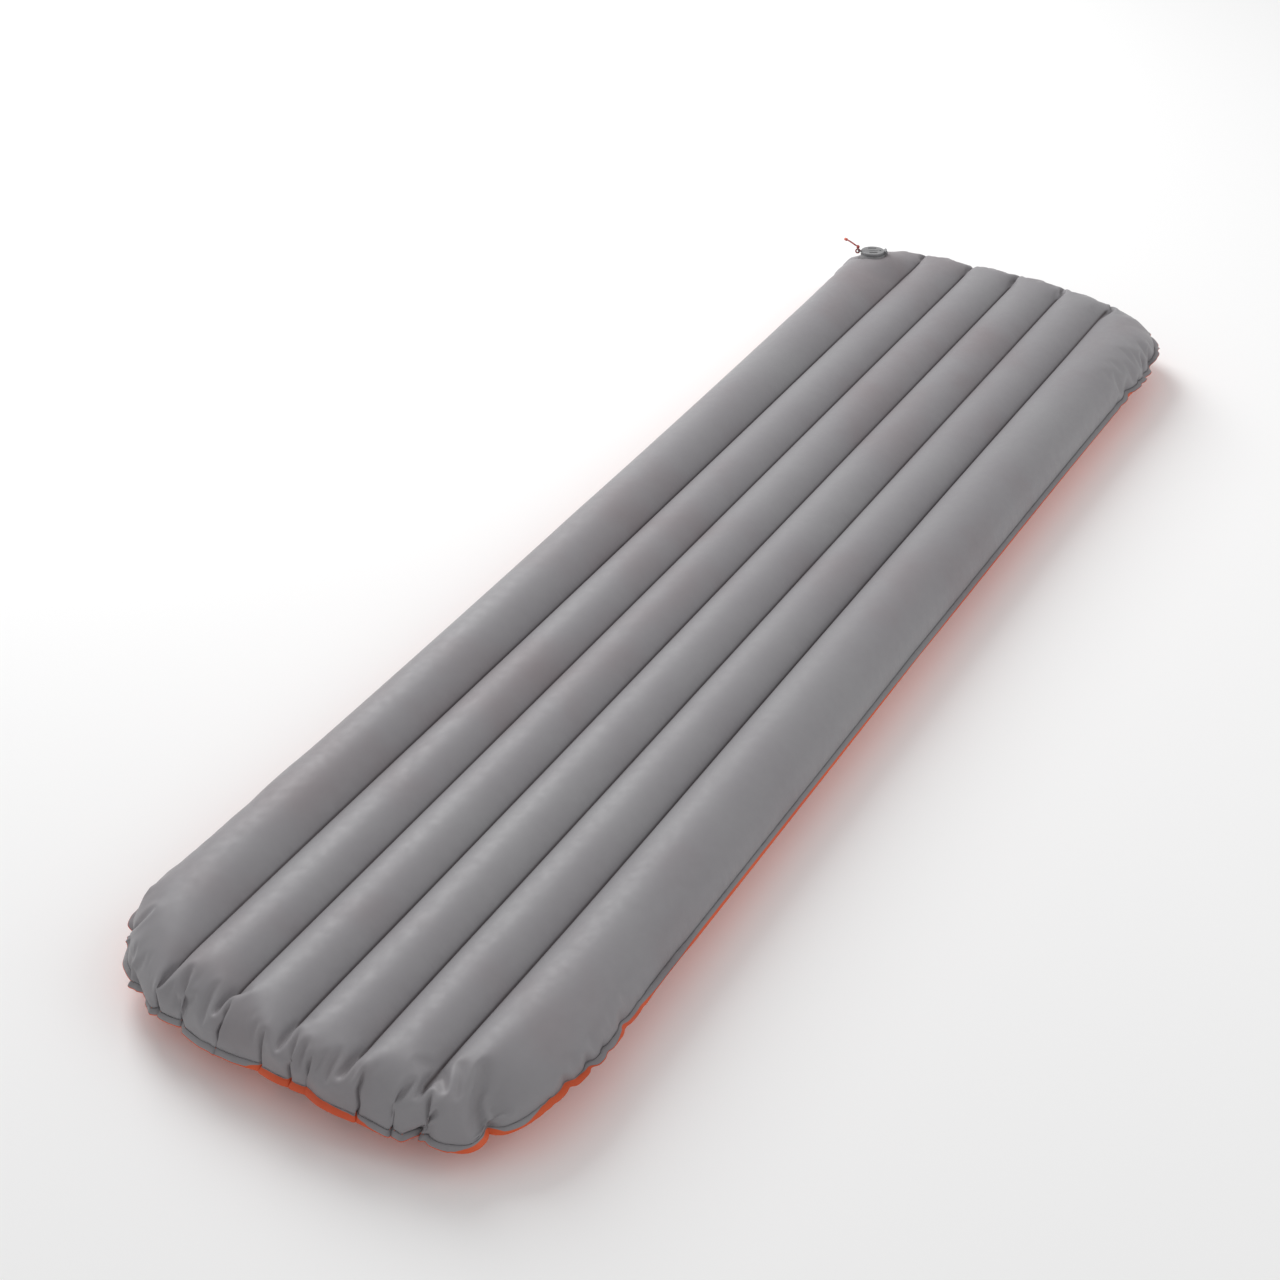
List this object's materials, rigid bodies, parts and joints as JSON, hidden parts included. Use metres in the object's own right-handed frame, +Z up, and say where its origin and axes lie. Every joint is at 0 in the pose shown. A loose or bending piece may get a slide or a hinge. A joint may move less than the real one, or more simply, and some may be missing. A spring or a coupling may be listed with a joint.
{
  "type": "inflatable sleeping pad",
  "caption": "Inflatable sleeping pad with lengthwise air chambers, thicker side rails, a welded edge all round and a flat corner valve with a pull cord.",
  "frame": {"origin": "on the ground, under the middle of the pad", "axes": "+Z up, +Y along the pad towards the end with the valve, +X across it; the valve is at -X +Y"},
  "size_m": [0.5151, 1.83, 0.1155],
  "materials": {
    "top_fabric": "satin laminated weave",
    "bottom_fabric": "satin laminated weave",
    "baffle_film": "matt film",
    "weld_disc": "matt film",
    "valve_grey": "matt moulded",
    "plug_grey": "matt moulded",
    "cap_grey": "matt moulded",
    "seal_rubber": "matt",
    "diaphragm_rubber": "matt translucent",
    "pin_steel": "satin",
    "cord_red": "braided",
    "cord_sleeve": "matt moulded"
  },
  "bodies": {
    "pad": {"top_sheet": "top_fabric", "bottom_sheet": "bottom_fabric", "baffle_1": "baffle_film", "baffle_2": "baffle_film", "baffle_3": "baffle_film", "baffle_4": "baffle_film", "baffle_5": "baffle_film", "valve_flange": "weld_disc", "valve_body": "valve_grey", "plug_hinge_pin": "pin_steel"},
    "plug": {"deflate_plug": "plug_grey", "plug_seal": "seal_rubber", "cap_seal": "seal_rubber", "valve_spider": "valve_grey", "cap_hinge_pin": "pin_steel"},
    "cap": {"inflate_cap": "cap_grey", "pull_cord_loop": "cord_red", "pull_cord_knot": "cord_red", "pull_cord": "cord_red", "pull_cord_end": "cord_sleeve"},
    "diaphragm": {"check_diaphragm": "diaphragm_rubber", "diaphragm_stud": "diaphragm_rubber"}
  },
  "joints": [
    {"name": "plug_hinge", "type": "hinge", "parent": "pad", "child": "plug", "pos_m": [-0.21907, 0.83108, 0.10003], "axis": [-0.8572, -0.515, 0], "range_deg": [0, 100]},
    {"name": "cap_hinge", "type": "hinge", "parent": "plug", "child": "cap", "pos_m": [-0.19134, 0.82454, 0.10527], "axis": [-0.5106, 0.8498, -0.1305], "range_deg": [0, 120]},
    {"name": "check_slide", "type": "slide", "parent": "plug", "child": "diaphragm", "axis": [0.0672, -0.1119, -0.9914], "range_m": [0, 0.0015], "stiffness_N_per_m": 10}
  ]
}
